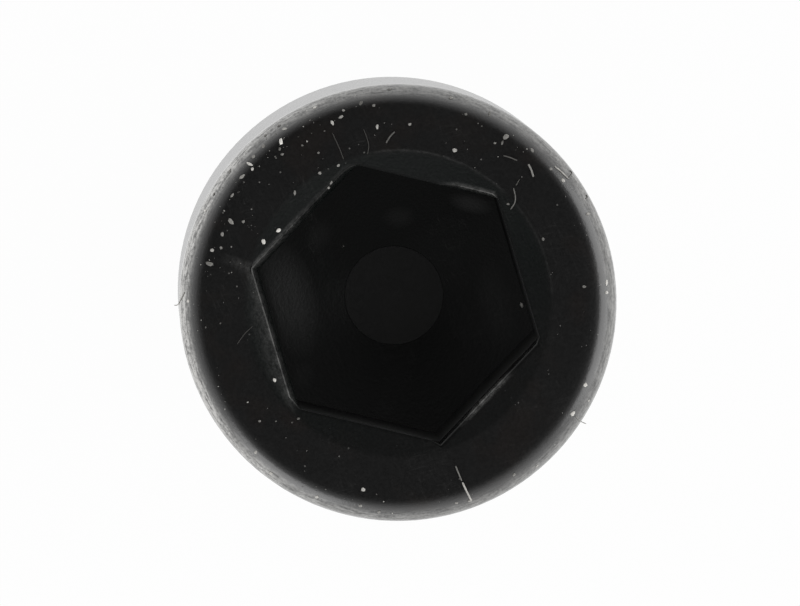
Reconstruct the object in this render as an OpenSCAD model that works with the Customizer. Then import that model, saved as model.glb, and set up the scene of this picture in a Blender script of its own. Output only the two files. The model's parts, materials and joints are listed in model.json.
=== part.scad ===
// Socket head cap screw with a metric coarse thread, forged and rolled in one piece.
// All sizes are in millimetres.
// The screw stands on its threaded end: +Z runs up its axis to the head, and the origin
// is the centre of the flat end face. Two flats of the hexagon face +Y and -Y.

/* [Thread] */
// Length from the end face to the underside of the head
screw_len = 30; // [20:1:60]
// Outside diameter of the thread
thread_d = 11.85; // [11.6:0.05:12.4]
// Distance from one thread crest to the next
thread_pitch = 1.75; // [1:0.25:2]
// Slope of the thread's run-out into the neck, from the axis
runout_angle = 30; // [20:5:45]
// Diameter of the flat end face
end_d = 9.2; // [7:0.1:9.8]
// Slope of the chamfer round the end, from the axis
end_angle = 45; // [30:5:60]

/* [Neck] */
// Length of the plain neck, from the underside of the head to the run-out
neck_len = 2.5; // [1.5:0.1:5]
// Radius of the fillet between the neck and the underside of the head
neck_fillet = 0.8; // [0.4:0.1:1.2]

/* [Head] */
// Diameter of the head
head_d = 17.8; // [16.5:0.05:20]
// Height of the head
head_h = 11.95; // [10.5:0.05:14]
// Radius of the rounded edge round the top of the head
rim_r = 0.9; // [0.3:0.05:1.2]
// Width of the chamfer round the underside of the head
seat_chamfer = 0.25; // [0.1:0.05:0.6]

/* [Socket] */
// Width of the hexagon across its flats
socket_af = 10.15; // [8:0.05:10.5]
// Depth of the hexagon at its corners
socket_depth = 6; // [4.5:0.1:6.5]
// How far the round lead-in reaches past the corners of the hexagon
lead_in = 0.38; // [0.05:0.01:0.5]
// Slope of the lead-in, down from the top face
lead_in_angle = 7; // [5:1:45]
// Diameter of the flat disc in the middle of the socket's floor
floor_disc_d = 4.1; // [2:0.1:6]
// Slope of the floor, from the hexagon's corners down to the disc
floor_angle = 16.5; // [5:0.5:25]

/* [Hidden] */
$fn = 96;

black_oxide = [0.11, 0.11, 0.115];

// A cutting tool reaches this far out of the face that it cuts
overshoot = 1;

// Depth of one flank of a 60 degree thread down to its pitch line, for each pitch
flank_share = 3 * sqrt(3) / 16;

thread_r = thread_d / 2;
// The neck keeps the diameter of the blank that the thread was rolled on
neck_r = thread_r - flank_share * thread_pitch;
end_r = end_d / 2;
end_len = (thread_r - end_r) / tan(end_angle);
runout_len = (thread_r - neck_r) / tan(runout_angle);
neck_bottom_z = screw_len - neck_len;

head_r = head_d / 2;
top_z = screw_len + head_h;
// The neck runs on into the head, so that the two are one solid
neck_top_z = screw_len + seat_chamfer;

corner_r = socket_af / sqrt(3);
mouth_r = corner_r + lead_in;
lead_in_depth = (mouth_r - socket_af / 2) * tan(lead_in_angle);
floor_disc_r = floor_disc_d / 2;
floor_z = top_z - socket_depth - (corner_r - floor_disc_r) * tan(floor_angle);

// Half section of the threaded length, out to the crests of the thread
module thread_section() {
    polygon([
        [0, 0],
        [end_r, 0],
        [thread_r, end_len],
        [thread_r, neck_bottom_z - runout_len],
        [neck_r, neck_bottom_z],
        [0, neck_bottom_z]
    ]);
}

// Half section of the neck, with the fillet that carries it into the head
module neck_section() {
    translate([0, neck_bottom_z])
        square([neck_r, neck_top_z - neck_bottom_z]);
    difference() {
        translate([0, screw_len - neck_fillet])
            square([neck_r + neck_fillet, neck_fillet + seat_chamfer]);
        translate([neck_r + neck_fillet, screw_len - neck_fillet])
            circle(neck_fillet);
    }
}

// Half section of the head, with its rounded top edge and chamfered underside
module head_section() {
    polygon([
        [0, screw_len],
        [head_r - seat_chamfer, screw_len],
        [head_r, screw_len + seat_chamfer],
        [head_r, top_z - rim_r],
        [0, top_z - rim_r]
    ]);
    translate([0, screw_len + seat_chamfer])
        square([head_r - rim_r, head_h - seat_chamfer]);
    translate([head_r - rim_r, top_z - rim_r])
        circle(rim_r);
}

// The forged blank, turned round the axis
module blank() {
    rotate_extrude() {
        thread_section();
        neck_section();
        head_section();
    }
}

// The punch that makes the hexagon and its coned floor
module socket_punch() {
    intersection() {
        translate([0, 0, floor_z])
            cylinder(r = corner_r, h = top_z - floor_z + overshoot, $fn = 6);
        rotate_extrude()
            polygon([
                [0, floor_z],
                [floor_disc_r, floor_z],
                [mouth_r, floor_z + (mouth_r - floor_disc_r) * tan(floor_angle)],
                [mouth_r, top_z + overshoot],
                [0, top_z + overshoot]
            ]);
    }
}

// The round lead-in that opens the hexagon at the top face
module socket_lead_in() {
    rotate_extrude()
        polygon([
            [0, top_z - lead_in_depth],
            [socket_af / 2, top_z - lead_in_depth],
            [mouth_r, top_z],
            [mouth_r, top_z + overshoot],
            [0, top_z + overshoot]
        ]);
}

module cap_screw() {
    color(black_oxide)
        difference() {
            blank();
            socket_punch();
            socket_lead_in();
        }
}

cap_screw();
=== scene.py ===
"""Dresses the socket head cap screw: the screw itself with its rolled thread, rounded edges and
hexagon socket, the dust and lint that lie on its head, and a plain studio to look at it in."""

import json
import math
import random

import bmesh
import bpy
from bpy.props import FloatProperty, FloatVectorProperty, IntProperty, PointerProperty
from mathutils import Matrix, Vector
from mathutils.bvhtree import BVHTree


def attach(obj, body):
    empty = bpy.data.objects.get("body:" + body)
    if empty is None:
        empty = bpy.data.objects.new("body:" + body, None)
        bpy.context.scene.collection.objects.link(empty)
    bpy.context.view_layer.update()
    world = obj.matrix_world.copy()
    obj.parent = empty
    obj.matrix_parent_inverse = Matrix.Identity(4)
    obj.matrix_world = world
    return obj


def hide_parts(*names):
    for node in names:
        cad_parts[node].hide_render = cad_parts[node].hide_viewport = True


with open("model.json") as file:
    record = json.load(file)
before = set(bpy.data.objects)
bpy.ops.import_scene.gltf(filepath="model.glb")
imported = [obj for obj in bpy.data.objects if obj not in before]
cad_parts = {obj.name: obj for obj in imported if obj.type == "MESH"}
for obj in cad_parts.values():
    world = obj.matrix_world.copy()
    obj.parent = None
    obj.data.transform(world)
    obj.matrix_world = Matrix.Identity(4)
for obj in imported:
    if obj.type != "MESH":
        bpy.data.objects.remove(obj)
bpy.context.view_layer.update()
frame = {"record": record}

bl_info = {
    "name": "Socket Head Cap Screw",
    "version": (1, 0, 0),
    "blender": (4, 5, 0),
    "location": "3D View > Sidebar > Cap Screw",
    "description": "Builds a black oxide socket head cap screw, the dust on it and a studio",
    "category": "Add Mesh",
}

MM = 0.001
NODE = "cap_screw"
BODY = "root"
SCREW = "screw"
WEAR_AND_RIM_HIGHLIGHT = "wear"
SHADE = "shade"
WALL = "wall"
SOCKET_SHADE = "socket_shade"

FULL_TURN = 2 * math.pi
SIXTH_TURN = math.pi / 3
WELD = 1e-4  # millimetres: vertices nearer than this are one
NEAR = 1e-3  # millimetres: vertices nearer than this to a radius lie on it
SHARP_TURN = math.radians(32)


def mount(name):
    """The part's mount of that name."""
    return next(m for m in frame["record"]["mounts"] if m["name"] == name)


def radius_of(name):
    """Radius of a round mount, in metres."""
    return mount(name)["dims"]["r_mm"] * MM


def height_of(name):
    """Height of a mount over the end face, in metres."""
    return mount(name)["pos_m"][2]


# ---------------------------------------------------------------- settings


def length(name, description, millimetres):
    """A length that the user can change."""
    return FloatProperty(
        name=name, description=description, default=millimetres * MM,
        precision=5, unit="LENGTH", subtype="DISTANCE",
    )


def angle(name, description, degrees):
    """An angle that the user can change."""
    return FloatProperty(
        name=name, description=description, default=math.radians(degrees),
        unit="ROTATION", subtype="ANGLE",
    )


def share(name, description, value, highest=1.0):
    """A plain number from 0 up to the highest."""
    return FloatProperty(
        name=name, description=description, default=value, min=0.0, max=highest, subtype="FACTOR",
    )


def count(name, description, value, lowest, highest, step=1):
    """A whole number."""
    return IntProperty(
        name=name, description=description, default=value, min=lowest, max=highest, step=step,
    )


def tint(name, description, red, green, blue):
    """A colour, as linear red, green and blue."""
    return FloatVectorProperty(
        name=name, description=description, default=(red, green, blue),
        size=3, min=0.0, max=1.0, subtype="COLOR",
    )


class ScrewSettings(bpy.types.PropertyGroup):
    """Sizes of the screw that its mounts don't give."""

    pitch: length("Pitch", "Distance from one thread crest to the next", 1.75)
    crest_round: length("Crest rounding", "Rounding of the corners of a thread crest", 0.05)
    runout_fade: length("Run-out", "Length over which the thread groove runs out", 3.0)
    end_d: length("End face", "Diameter of the flat end face", 9.2)
    end_angle: angle("End chamfer", "Slope of the end chamfer, from the axis", 45)
    neck_len: length("Neck", "Length of the plain neck under the head", 2.5)
    runout_angle: angle("Run-out slope", "Slope from the thread down to the neck", 30)
    neck_fillet: length("Neck fillet", "Radius between the neck and the head", 0.8)
    seat_chamfer: length("Seat chamfer", "Width of the chamfer under the head", 0.25)
    seat_round: length("Seat rounding", "Rounding of the corners of that chamfer", 0.06)
    rim_r: length("Rim", "Radius of the rounded edge on top of the head", 0.9)
    shoulder: length("Shoulder", "Width over which the top face eases into the rim", 0.5)
    shoulder_drop: length("Shoulder drop", "How far the top face sinks over the shoulder", 0.016)
    shoulder_pair: length("Shoulder pair", "How much further it sinks on the rubbed sides", 0.01)
    socket_af: length("Across flats", "Width of the hexagon across its flats", 10.15)
    socket_depth: length("Socket depth", "Depth of the hexagon at its corners", 6.0)
    lead_in: length("Lead-in", "How far the lead-in reaches past the corners", 0.38)
    lead_in_angle: angle("Lead-in slope", "Slope of the lead-in, from the top face", 7)
    lip_round: length("Lip", "Rounding where the hexagon meets the lead-in, where it is least", 0.04)
    lip_band: length("Lip band", "Width of the band round the lip that wear can reach", 0.12)
    mouth_line: length("Mouth line", "Width of the worn line round the lead-in", 0.08)
    # Painted shade: a dark line on the floor along the foot of the walls.
    foot_shade_line: length("Foot line", "Width of the dark line on the floor along the walls", 0.24)
    floor_disc_d: length("Floor disc", "Diameter of the flat disc in the floor", 4.1)
    floor_angle: angle("Floor slope", "Slope of the floor down to the disc", 16.5)
    columns: count("Columns", "Faces round the screw, a multiple of 12", 120, 48, 240, 12)


class WearSettings(bpy.types.PropertyGroup):
    """How far the oxide is rubbed off each edge, from 0 (whole) to 1 (bare steel). On the rim this also
    stands in for part of its highlight, as painted highlight.
    """

    # Partly painted highlight: the rim's bare steel is real wear, and its amount round the rim also
    # stands in for part of the rim's highlight.
    rim: share("Rim", "Rounded edge on top of the head, on average", 0.5)
    rim_pair: share("Rubbed pair", "More wear on two opposite sides of the rim, and less between", 0.13)
    rim_side: share("Rubbed side", "More wear on one of those sides than on the other", 0.2)
    rubbed_at: angle("Rubbed side at", "Heading of the side that was rubbed most", 198)
    lip: share("Lip", "Edge of the hexagon, where it isn't rubbed more", 0.0)
    crest: share("Crests", "Crests of the thread", 0.3)
    corner: share("Corners", "Edges of the end and of the bearing face", 0.3)


class FinishSettings(bpy.types.PropertyGroup):
    """Colours of the finishes."""

    oxide: tint("Oxide", "Black oxide on the steel", 0.0092, 0.0092, 0.0092)
    oxide_warm: tint("Thin oxide", "Oxide where it is thin and brownish", 0.0112, 0.0098, 0.0092)
    # Partly painted shade: a real oily tint, laid darkest in the socket away from its lit side.
    oxide_cool: tint("Oily oxide", "Oxide in the socket, where the oil stays", 0.0045, 0.006, 0.0056)
    oxide_disc: tint("Disc oxide", "Oxide on the disc in the socket's floor", 0.013, 0.0135, 0.013)
    # Painted shade: the darker oxide on the socket's walls and floor.
    oxide_shade: tint("Deep oxide", "Oxide on the socket's walls and floor", 0.0055, 0.0058, 0.0056)
    bare: tint("Bare steel", "Steel where the oxide is rubbed off", 0.56, 0.555, 0.54)
    dust: tint("Dust", "Pale dust", 0.85, 0.83, 0.78)
    grit: tint("Grit", "Dark grit among the dust", 0.03, 0.028, 0.025)


class DustSettings(bpy.types.PropertyGroup):
    """The dust and lint that lie on the head."""

    seed: count("Seed", "Seed of the scattered dust", 7, 0, 9999)
    grains: count("Grains", "Number of small scattered grains", 200, 0, 2000)
    smallest: length("Smallest grain", "Length of the smallest scattered grain", 0.03)
    largest: length("Largest grain", "Length of the largest scattered grain", 0.1)
    dusty_at: angle("Dusty side", "Heading of the side where most dust lies", 150)


class StudioSettings(bpy.types.PropertyGroup):
    """The camera, the floor and the light."""

    view_height: length("Camera height", "Distance of the camera over the head", 400)
    view_width: length("View width", "Width that the camera sees at the head", 32.46)
    view_roll: angle("Camera roll", "Turn of the camera against the hexagon", 13.4)
    aside: length("Camera aside", "How far the camera stands to its left", 11.06)
    ahead: length("Camera ahead", "How far the camera stands towards its top edge", 19.97)
    aim_right: length("Aim right", "Aim to the right of the axis", 0.053)
    aim_up: length("Aim up", "Aim above the axis", 0.033)
    floor_color: tint("Floor", "Colour of the floor", 0.95, 0.95, 0.95)
    floor_glow: share("Floor glow", "How much of the floor shows as plain white", 0.96)
    floor_gap: length("Floor gap", "How far the floor lies under the end face", 0.01)
    dome_top: share("Dome top", "Brightness of the dome straight overhead", 0.02)
    dome_side: share("Dome side", "Brightness of the dome's sides", 1.15, 2.0)
    dome_tilt: angle("Dome tilt", "How far the dark middle of the dome leans to one side", 5)
    dome_heading: angle("Dome heading", "Heading of that side, from the camera's right", 110)
    dome_dark: angle("Dome dark", "How far from overhead the dome is dark", 11)
    dome_pale: angle("Dome pale", "How far from overhead the dome's sides begin", 76)


def in_mm(value):
    """A length in millimetres."""
    return value / MM


# ---------------------------------------------------------------- the screw

# How many straight steps each rounding has.
CREST_STEPS = 2
ROOT_STEPS = 6
FLANK_STEPS = 4
FILLET_STEPS = 8
SEAT_STEPS = 3
RIM_STEPS = 14
SHOULDER_STEPS = 5


def polar(vertex):
    """(radius, angle) of a vertex about the screw's axis."""
    return math.hypot(vertex.co.x, vertex.co.y), math.atan2(vertex.co.y, vertex.co.x)


def place(vertex, radius, turn, z):
    """Puts a vertex at a radius, an angle and a height."""
    vertex.co = (radius * math.cos(turn), radius * math.sin(turn), z)


def ease(value, start, end):
    """0 before the start and 1 after the end, with a smooth step between."""
    t = min(max((value - start) / (end - start), 0), 1)
    return t * t * (3 - 2 * t)


def add_outline(bm, points):
    """A chain of edges through (radius, height) points, in the plane of angle 0. A point may also
    give the size of its rounding and the number of segments in it."""
    verts = [bm.verts.new((point[0], 0, point[1])) for point in points]
    for a, b in zip(verts, verts[1:]):
        bm.edges.new((a, b))
    for vert, (_, _, *rounding) in zip(verts, points):
        if rounding:
            bmesh.ops.bevel(
                bm, geom=[vert], affect="VERTICES", offset_type="OFFSET",
                offset=rounding[0], segments=rounding[1], profile=0.5, material=-1,
            )


def hexagon_radius(turn, across_flats):
    """Distance from the axis to the hexagon's side at an angle. One corner is at angle 0."""
    return across_flats / 2 / math.cos(turn % SIXTH_TURN - SIXTH_TURN / 2)


# Settings that are used as they are, in millimetres.
PLAIN_LENGTHS = (
    "pitch", "crest_round", "runout_fade", "neck_fillet", "seat_chamfer", "seat_round", "rim_r",
    "shoulder", "shoulder_drop", "shoulder_pair", "socket_depth", "lip_round", "lip_band",
    "mouth_line", "foot_shade_line",
)


class Sizes:
    """The screw's sizes in millimetres, from its mounts and its settings."""

    def __init__(self, s):
        for name in PLAIN_LENGTHS:
            setattr(self, name, in_mm(getattr(s, name)))
        self.columns = s.columns
        self.thread_h = self.pitch * math.sqrt(3) / 2
        self.thread_r = in_mm(radius_of("thread"))
        self.neck_r = self.thread_r - self.thread_h * 3 / 8
        self.head_r = in_mm(radius_of("head_side"))
        self.seat_z = in_mm(height_of("bearing_face"))
        self.top_z = in_mm(height_of("socket"))
        self.end_r = in_mm(s.end_d) / 2
        self.end_slope = math.tan(s.end_angle)
        self.neck_z = self.seat_z - in_mm(s.neck_len)
        self.runout_slope = math.tan(s.runout_angle)
        self.runout_z = self.neck_z - (self.thread_r - self.neck_r) / self.runout_slope
        self.rim_start_r = self.head_r - self.rim_r
        self.rim_end_z = self.top_z - self.rim_r
        self.across_flats = in_mm(s.socket_af)
        self.corner_r = self.across_flats / math.sqrt(3)
        self.mouth_r = self.corner_r + in_mm(s.lead_in)
        self.lead_in_lean = s.lead_in_angle
        self.lead_in_slope = math.tan(s.lead_in_angle)
        self.disc_r = in_mm(s.floor_disc_d) / 2
        self.floor_slope = math.tan(s.floor_angle)
        drop = (self.corner_r - self.disc_r) * self.floor_slope
        self.disc_z = self.top_z - self.socket_depth - drop

    def blank_radius(self, z):
        """Radius of the screw's envelope along its threaded length."""
        end = self.end_r + z * self.end_slope
        runout = self.thread_r - (z - self.runout_z) * self.runout_slope
        return min(end, self.thread_r, max(runout, self.neck_r))

    def shoulder_sink(self, radius, off):
        """How far the top sinks at a radius, as it eases into the rim, at an angle off the side
        that was rubbed most."""
        t = max(radius - self.rim_start_r + self.shoulder, 0) / self.shoulder
        drop = self.shoulder_drop + self.shoulder_pair * math.cos(2 * off)
        return drop * (t * t if t < 1 else 2 * t - 1)

    def lead_in_z(self, radius):
        """Height of the lead-in at a radius."""
        return self.top_z - (self.mouth_r - radius) * self.lead_in_slope

    def floor_z(self, radius):
        """Height of the socket's coned floor."""
        return self.disc_z + (radius - self.disc_r) * self.floor_slope


# Where the lip of the hexagon is rubbed: the flat, counted from the corner at angle 0, the stretch
# of it as shares of its width, the rounding and the width of the bevel there in mm, how bare it is,
# and how far that reaches in mm.
RUBBED_LIPS = (
    (1, 0.0, 0.3, 0.1, 0.09, 0.0, 0.07),
    (1, 0.08, 0.26, 0.1, 0.09, 0.07, 0.1),
    (2, 0.1, 1.0, 0.12, 0.18, 0.02, 0.07),
    (2, 0.6, 0.95, 0.12, 0.18, 0.07, 0.07),
    (3, 0.0, 0.88, 0.12, 0.18, 0.055, 0.3),
    (5, 0.0, 1.0, 0.1, 0.08, 0.0, 0.07),
    (5, 0.36, 0.52, 0.1, 0.08, 0.13, 0.08),
)
# How far the form and the bareness of a rubbed stretch fade past its ends, as shares of the flat.
LIP_SOFT = 0.12
LIP_FADE = 0.2
# The steps from the lead-in over the lip to the wall, and how many of them are its top.
LIP_STEPS = 7
LIP_TOP_STEPS = 4
LIP_BEVEL_LEAN = math.radians(60)
# Painted shade in the socket: how much of it each ring of the lead-in, lip, walls and floor takes,
# darkest at the foot of the walls, which dulls their oxide.
LEAD_IN_SHADE = 0.2
LIP_SHADE = 0.6
LIP_FOOT_SHADE = 0.35
WALL_FOOT_SHADE = 1.35
FLOOR_SHADE = 1.0
# How bare the lip is where it takes no more painted shade than the lead-in.
LIP_CLEARED = 0.04


def stretch(value, start, end, soft):
    """1 between the start and the end, fading to 0 over a soft margin."""
    return ease(value, start - soft, start) * (1 - ease(value, end, end + soft))


def along_flat(turn):
    """Which flat of the hexagon an angle about the axis meets, and how far along that flat."""
    flat, across = divmod(turn % FULL_TURN, SIXTH_TURN)
    return flat, 0.5 + math.tan(across - SIXTH_TURN / 2) * math.sqrt(3) / 2


def lip_rubbed(size, turn):
    """How the lip is rubbed at an angle: its rounding, its bevel, how bare it is, and its reach."""
    flat, along = along_flat(turn)
    rounding, bevel, bare, reach = 0, 0, 0, size.lip_band
    for rubbed_flat, start, end, rounded, bevelled, bared, reached in RUBBED_LIPS:
        here = stretch(along, start, end, LIP_SOFT)
        if rubbed_flat == flat and here > 0:
            rounding = max(rounding, rounded * here)
            bevel = max(bevel, bevelled * here)
        worn = stretch(along, start, end, LIP_FADE)
        if rubbed_flat == flat and bared * worn > bare:
            bare = bared * worn
            reach = reached
    return size.lip_round + rounding, bevel, bare, reach


def thread_outline(size):
    """One pitch of a 60 degree thread from crest to crest, with its rounded root."""
    pitch = size.pitch
    crest = pitch / 16
    root_r = size.thread_h / 6
    root_centre = size.thread_r - size.thread_h * 17 / 24 + root_r
    root = []
    for i in range(ROOT_STEPS + 1):
        lean = SIXTH_TURN * (2 * i / ROOT_STEPS - 1)
        root.append((root_centre - root_r * math.cos(lean), pitch / 2 + root_r * math.sin(lean)))

    def flank(start, end):
        return [
            tuple(a + (b - a) * i / FLANK_STEPS for a, b in zip(start, end))
            for i in range(1, FLANK_STEPS)
        ]

    lower = (size.thread_r, crest)
    upper = (size.thread_r, pitch - crest)
    rounding = (size.crest_round, CREST_STEPS)
    return [
        (size.thread_r, 0), (*lower, *rounding), *flank(lower, root[0]), *root,
        *flank(root[-1], upper), (*upper, *rounding), (size.thread_r, pitch),
    ]


def add_thread(bm, size):
    """The threaded length, from the end face to the neck: one helical turn, stacked to its top."""
    add_outline(bm, [
        (radius, z - size.pitch, *rounding) for radius, z, *rounding in thread_outline(size)
    ])
    bmesh.ops.spin(
        bm, geom=bm.verts[:] + bm.edges[:], cent=(0, 0, 0), axis=(0, 0, 1),
        dvec=(0, 0, size.pitch / size.columns), angle=FULL_TURN, steps=size.columns,
        use_duplicate=False,
    )
    turn_of_thread = bm.verts[:] + bm.edges[:] + bm.faces[:]
    for i in range(1, math.ceil(size.neck_z / size.pitch) + 2):
        copy = bmesh.ops.duplicate(bm, geom=turn_of_thread)["geom"]
        verts = [v for v in copy if isinstance(v, bmesh.types.BMVert)]
        bmesh.ops.translate(bm, vec=(0, 0, i * size.pitch), verts=verts)
    for v in bm.verts:
        radius, turn = polar(v)
        z = min(max(v.co.z, 0), size.neck_z)
        if radius < size.neck_r:
            depth = min((size.neck_z - z) / size.runout_fade, 1)
            radius = size.neck_r + (radius - size.neck_r) * depth
        place(v, min(radius, size.blank_radius(z)), turn, z)
    bmesh.ops.remove_doubles(bm, verts=bm.verts, dist=WELD)


def edges_of(verts):
    """The edges that meet at some vertices, each once and always in the same order."""
    return list(dict.fromkeys(e for v in verts for e in v.link_edges))


def add_head(bm, size, rubbed_at):
    """The neck's fillet, the bearing face, the side, the rounded rim and the top face."""
    old = set(bm.verts)
    chamfer_r = size.head_r - size.seat_chamfer
    chamfer_z = size.seat_z + size.seat_chamfer
    add_outline(bm, [
        (size.neck_r, size.neck_z),
        (size.neck_r, size.seat_z, size.neck_fillet, FILLET_STEPS),
        (chamfer_r - size.seat_chamfer, size.seat_z),
        (chamfer_r, size.seat_z, size.seat_round, SEAT_STEPS),
        (size.head_r, chamfer_z, size.seat_round, SEAT_STEPS),
        (size.head_r, chamfer_z + size.seat_chamfer),
        (size.head_r, size.rim_end_z - size.rim_r),
        (size.head_r, size.rim_end_z - size.rim_r / 2),
        (size.head_r, size.top_z, size.rim_r, RIM_STEPS),
        *[
            (size.rim_start_r - size.shoulder * i / SHOULDER_STEPS, size.top_z)
            for i in range(1, SHOULDER_STEPS + 1)
        ],
        (size.mouth_r + size.mouth_line, size.top_z),
        (size.mouth_r, size.top_z),
    ])
    outline = [v for v in bm.verts if v not in old]
    bmesh.ops.spin(
        bm, geom=outline + edges_of(outline), cent=(0, 0, 0), axis=(0, 0, 1),
        angle=FULL_TURN, steps=size.columns, use_merge=True, use_duplicate=False,
    )
    bmesh.ops.remove_doubles(bm, verts=bm.verts, dist=WELD)
    for v in bm.verts:
        if v.co.z > size.rim_end_z - WELD:
            radius, turn = polar(v)
            v.co.z -= size.shoulder_sink(radius, turn - rubbed_at)


def open_ring(bm, z, radius):
    """The open edges that lie at a height and a radius."""
    def there(v):
        return abs(v.co.z - z) < WELD and abs(polar(v)[0] - radius) < NEAR

    return [e for e in bm.edges if e.is_boundary and all(there(v) for v in e.verts)]


def extrude_ring(bm, ring, target):
    """Extrudes a ring of edges, and puts each new vertex where target(angle) says."""
    made = bmesh.ops.extrude_edge_only(bm, edges=ring)["geom"]
    verts = {v for v in made if isinstance(v, bmesh.types.BMVert)}
    for v in verts:
        turn = polar(v)[1]
        radius, z = target(turn)
        place(v, radius, turn, z)
    return [e for e in made if isinstance(e, bmesh.types.BMEdge) and set(e.verts) <= verts]


def verts_of(ring):
    """The vertices of a ring of edges."""
    return {v for edge in ring for v in edge.verts}


def mark_ring(ring, layer, value):
    """Gives the vertices of a ring of edges a value in a layer."""
    for v in verts_of(ring):
        v[layer] = value


def lip_corner(size, turn, lean):
    """Where the rounded lip of the hexagon leans by an angle from level, at an angle about the axis:
    its distance from the axis and its height."""
    rounding, bevel, _, _ = lip_rubbed(size, turn)
    across = size.across_flats + 2 * rounding * (1 - math.sin(lean))
    drop = rounding * (math.cos(size.lead_in_lean) - math.cos(lean))
    if lean < LIP_BEVEL_LEAN:
        across += 2 * bevel
    else:
        drop += bevel * math.tan(LIP_BEVEL_LEAN)
    outermost = rounding * (1 - math.sin(size.lead_in_lean)) + bevel
    start = hexagon_radius(turn, size.across_flats + 2 * outermost)
    return hexagon_radius(turn, across), size.lead_in_z(start) - drop


def add_socket(bm, size):
    """The lead-in, the rounded lip, the hexagon's walls, the coned floor and its flat disc."""
    def mouth_line(turn):
        radius = size.mouth_r - size.mouth_line
        return radius, size.lead_in_z(radius)

    def lip_band(turn):
        start = lip_corner(size, turn, size.lead_in_lean)[0]
        radius = min(start + size.lip_band, (start + size.mouth_r - size.mouth_line) / 2)
        return radius, size.lead_in_z(radius)

    def lip(lean):
        return lambda turn: lip_corner(size, turn, lean)

    def wall_foot(turn):
        radius = hexagon_radius(turn, size.across_flats)
        return radius, size.floor_z(radius)

    def foot_shade_line(turn):
        radius = hexagon_radius(turn, size.across_flats - 2 * size.foot_shade_line)
        return radius, size.floor_z(radius)

    def disc_edge(turn):
        return size.disc_r, size.disc_z

    wall = bm.faces.layers.float.new(WALL)
    # Each ring keeps how much painted shade it takes, darkest at the foot of the walls.
    socket_shade = bm.verts.layers.float.new(SOCKET_SHADE)
    ring = open_ring(bm, size.top_z, size.mouth_r)
    for target in (mouth_line, lip_band, lip(size.lead_in_lean)):
        ring = extrude_ring(bm, ring, target)
        mark_ring(ring, socket_shade, LEAD_IN_SHADE)
    for v in verts_of(ring):
        rubbed = ease(lip_rubbed(size, polar(v)[1])[2], 0, LIP_CLEARED)
        v[socket_shade] = LIP_SHADE + (LEAD_IN_SHADE - LIP_SHADE) * rubbed
    for i in range(1, LIP_STEPS + 1):
        lean = size.lead_in_lean + (math.pi / 2 - size.lead_in_lean) * i / LIP_STEPS
        ring = extrude_ring(bm, ring, lip(lean))
        mark_ring(ring, socket_shade, FLOOR_SHADE if i < LIP_TOP_STEPS else LIP_FOOT_SHADE)
    above_walls = set(bm.faces)
    ring = extrude_ring(bm, ring, wall_foot)
    mark_ring(ring, socket_shade, WALL_FOOT_SHADE)
    walls = set(bm.faces) - above_walls
    for target in (foot_shade_line, disc_edge):
        ring = extrude_ring(bm, ring, target)
        mark_ring(ring, socket_shade, FLOOR_SHADE)
    for edge in ring:
        edge.smooth = False
    bmesh.ops.contextual_create(bm, geom=ring)
    for face in walls:
        face[wall] = 1.0


def close_end(bm, size):
    """The flat end face."""
    face = bmesh.ops.contextual_create(bm, geom=open_ring(bm, 0, size.end_r))["faces"]
    bmesh.ops.inset_region(bm, faces=face, thickness=size.seat_chamfer, depth=0)


# ---------------------------------------------------------------- its wear

# Where the edge of the lead-in shows as a light line: headings in degrees, and how bare it is.
RUBBED_MOUTH = ((20, 50, 0.015), (66, 110, 0.03))
MOUTH_SOFT = 8  # degrees over which such a line fades at its ends
LIP_DROP_COUNTS = 3  # how much sooner wear fades down the wall than over the lead-in
# How far in from the head's side the rim's wear, which is partly painted highlight, is whole and where
# it ends, as shares of its radius.
RIM_WORN = 0.12
RIM_WHOLE = 0.62
# How far wear reaches in millimetres: whole and gone at the end's corner, and down from the crests.
END_WORN = 0.05
END_WHOLE = 0.2
CREST_WORN = 0.3
SEAT_WORN = 1.4  # as a share of the chamfer's width


def lip_wear(size, wear, radius, turn, z):
    """Wear round the lip of the hexagon."""
    rounding, bevel, bare, reach = lip_rubbed(size, turn)
    start = hexagon_radius(turn, size.across_flats + 2 * (rounding + bevel))
    down = max(size.lead_in_z(start) - rounding - z, 0)
    off = max(radius - start, 0) + LIP_DROP_COUNTS * down
    return max(wear.lip, bare) * (1 - ease(off, 0, reach))


def mouth_wear(size, radius, turn, z):
    """Wear along the round edge of the lead-in."""
    if max(abs(radius - size.mouth_r), abs(z - size.top_z)) > size.mouth_line / 2:
        return 0
    heading = math.degrees(turn) % 360
    return max(bare * stretch(heading, start, end, MOUTH_SOFT) for start, end, bare in RUBBED_MOUTH)


def rim_wear_and_highlight(size, wear, radius, turn, z):
    """Wear over the rounded edge on top of the head, which fades out down its side. It also
    stands in for part of the rim's highlight, as painted highlight.
    """
    out = ease(radius, size.head_r - RIM_WHOLE * size.rim_r, size.head_r - RIM_WORN * size.rim_r)
    down = ease(z, size.rim_end_z - size.rim_r, size.rim_end_z)
    off = turn - wear.rubbed_at
    most = wear.rim + wear.rim_pair * math.cos(2 * off) + wear.rim_side * math.cos(off)
    return most * out * down


def wear_at(size, wear, v):
    """How far the oxide is rubbed off at a vertex; on the rim this is partly painted highlight."""
    radius, turn = polar(v)
    z = v.co.z
    if z < size.neck_z:
        end = wear.corner * (1 - ease(math.hypot(radius - size.end_r, z), END_WORN, END_WHOLE))
        return max(end, wear.crest * ease(radius, size.thread_r - CREST_WORN, size.thread_r))
    if z < size.rim_end_z - 2 * size.rim_r:
        from_seat = math.hypot(radius - size.head_r, z - size.seat_z)
        return wear.corner * (1 - ease(from_seat, size.seat_chamfer, SEAT_WORN * size.seat_chamfer))
    return max(
        rim_wear_and_highlight(size, wear, radius, turn, z),
        mouth_wear(size, radius, turn, z),
        lip_wear(size, wear, radius, turn, z),
    )


# ---------------------------------------------------------------- meshes


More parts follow.
